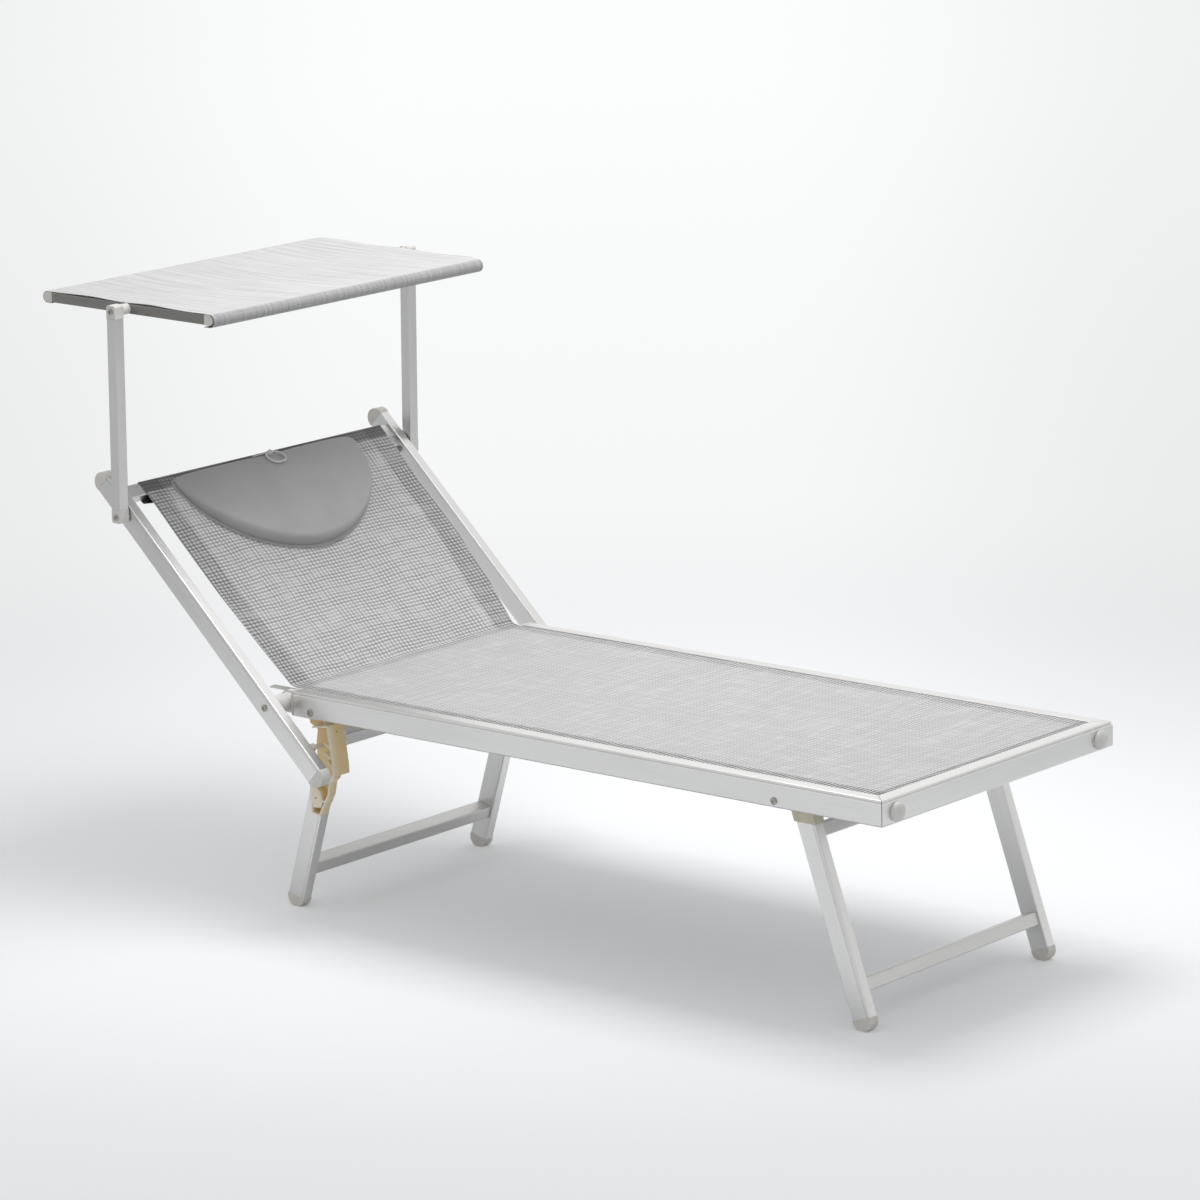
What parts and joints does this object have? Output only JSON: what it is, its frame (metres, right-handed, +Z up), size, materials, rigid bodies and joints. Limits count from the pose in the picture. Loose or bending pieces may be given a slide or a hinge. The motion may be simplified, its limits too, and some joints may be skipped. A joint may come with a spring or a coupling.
{
  "type": "sun lounger with canopy",
  "caption": "Folding sun lounger with a mesh sling on a light metal frame, a reclining backrest with a head pillow, folding legs and a tilting sunshade on posts.",
  "frame": {"origin": "middle of the length and width, on the floor under the legs", "axes": "+X along the length towards the foot end, +Y to the left hand of someone lying on it, +Z up"},
  "size_m": [1.9896, 0.8598, 1.1657],
  "materials": {
    "frame_aluminium": "satin anodised",
    "canopy_rail_aluminium": "satin, dark grey",
    "white_plastic": "satin moulded",
    "cream_plastic": "satin moulded",
    "bolt_steel": "satin",
    "sling_mesh": "woven mesh, silver grey",
    "canopy_fabric": "woven mesh, silver grey",
    "pillow_fabric": "woven mesh over foam, grey",
    "cord": "braided, off-white"
  },
  "bodies": {
    "seat_frame": {"side_rail_left": "frame_aluminium", "side_rail_right": "frame_aluminium", "foot_rail": "frame_aluminium", "recline_hub_left": "white_plastic", "recline_hub_right": "white_plastic", "ratchet_rack_left": "cream_plastic", "ratchet_rack_right": "cream_plastic", "seat_sling": "sling_mesh", "foot_bumper_left": "white_plastic", "foot_bumper_right": "white_plastic", "rear_leg_bolt_left": "bolt_steel", "rear_leg_bolt_right": "bolt_steel", "front_leg_bolt_left": "bolt_steel", "front_leg_bolt_right": "bolt_steel"},
    "backrest": {"back_rail_left": "frame_aluminium", "back_rail_right": "frame_aluminium", "head_end_cap_left": "cream_plastic", "head_end_cap_right": "cream_plastic", "tail_end_cap_left": "white_plastic", "tail_end_cap_right": "white_plastic", "back_crossbar": "frame_aluminium", "tail_pin_left": "white_plastic", "tail_pin_right": "white_plastic", "recline_bolt_left": "bolt_steel", "recline_bolt_right": "bolt_steel", "back_sling": "sling_mesh", "head_pillow": "pillow_fabric", "pull_loop": "cord"},
    "canopy_posts": {"canopy_post_left": "frame_aluminium", "canopy_post_right": "frame_aluminium", "post_foot_knuckle_left": "white_plastic", "post_foot_knuckle_right": "white_plastic", "post_head_knuckle_left": "white_plastic", "post_head_knuckle_right": "white_plastic", "post_foot_bolt_left": "bolt_steel", "post_foot_bolt_right": "bolt_steel", "canopy_bolt_left": "bolt_steel", "canopy_bolt_right": "bolt_steel"},
    "canopy": {"canopy_side_rail_left": "canopy_rail_aluminium", "canopy_side_rail_right": "canopy_rail_aluminium", "canopy_foot_bar": "cream_plastic", "canopy_head_bar": "cream_plastic", "canopy_cloth": "canopy_fabric"},
    "rear_legs": {"rear_leg_left": "frame_aluminium", "rear_leg_right": "frame_aluminium", "rear_leg_knee_left": "cream_plastic", "rear_leg_knee_right": "cream_plastic", "rear_leg_foot_left": "cream_plastic", "rear_leg_foot_right": "cream_plastic", "rear_upper_bar": "frame_aluminium", "rear_lower_bar": "frame_aluminium"},
    "front_legs": {"front_leg_left": "frame_aluminium", "front_leg_right": "frame_aluminium", "front_leg_knee_left": "cream_plastic", "front_leg_knee_right": "cream_plastic", "front_leg_foot_left": "cream_plastic", "front_leg_foot_right": "cream_plastic", "front_upper_bar": "frame_aluminium", "front_lower_bar": "frame_aluminium"}
  },
  "joints": [
    {"name": "backrest_recline", "type": "hinge", "parent": "seat_frame", "child": "backrest", "pos_m": [-0.42952, 0, 0.424], "axis": [0, 1, 0], "range_deg": [-21, 28.5]},
    {"name": "canopy_posts_swing", "type": "hinge", "parent": "backrest", "child": "canopy_posts", "pos_m": [-0.77625, 0, 0.75303], "axis": [0, 1, 0], "range_deg": [-45, 80]},
    {"name": "canopy_tilt", "type": "hinge", "parent": "canopy_posts", "child": "canopy", "pos_m": [-0.7693, 0, 1.15097], "axis": [0, 1, 0], "range_deg": [-60, 60]},
    {"name": "rear_legs_fold", "type": "hinge", "parent": "seat_frame", "child": "rear_legs", "pos_m": [-0.36052, 0, 0.414], "axis": [0, -1, 0], "range_deg": [0, 106]},
    {"name": "front_legs_fold", "type": "hinge", "parent": "seat_frame", "child": "front_legs", "pos_m": [0.74498, 0, 0.414], "axis": [0, 1, 0], "range_deg": [0, 109]}
  ]
}
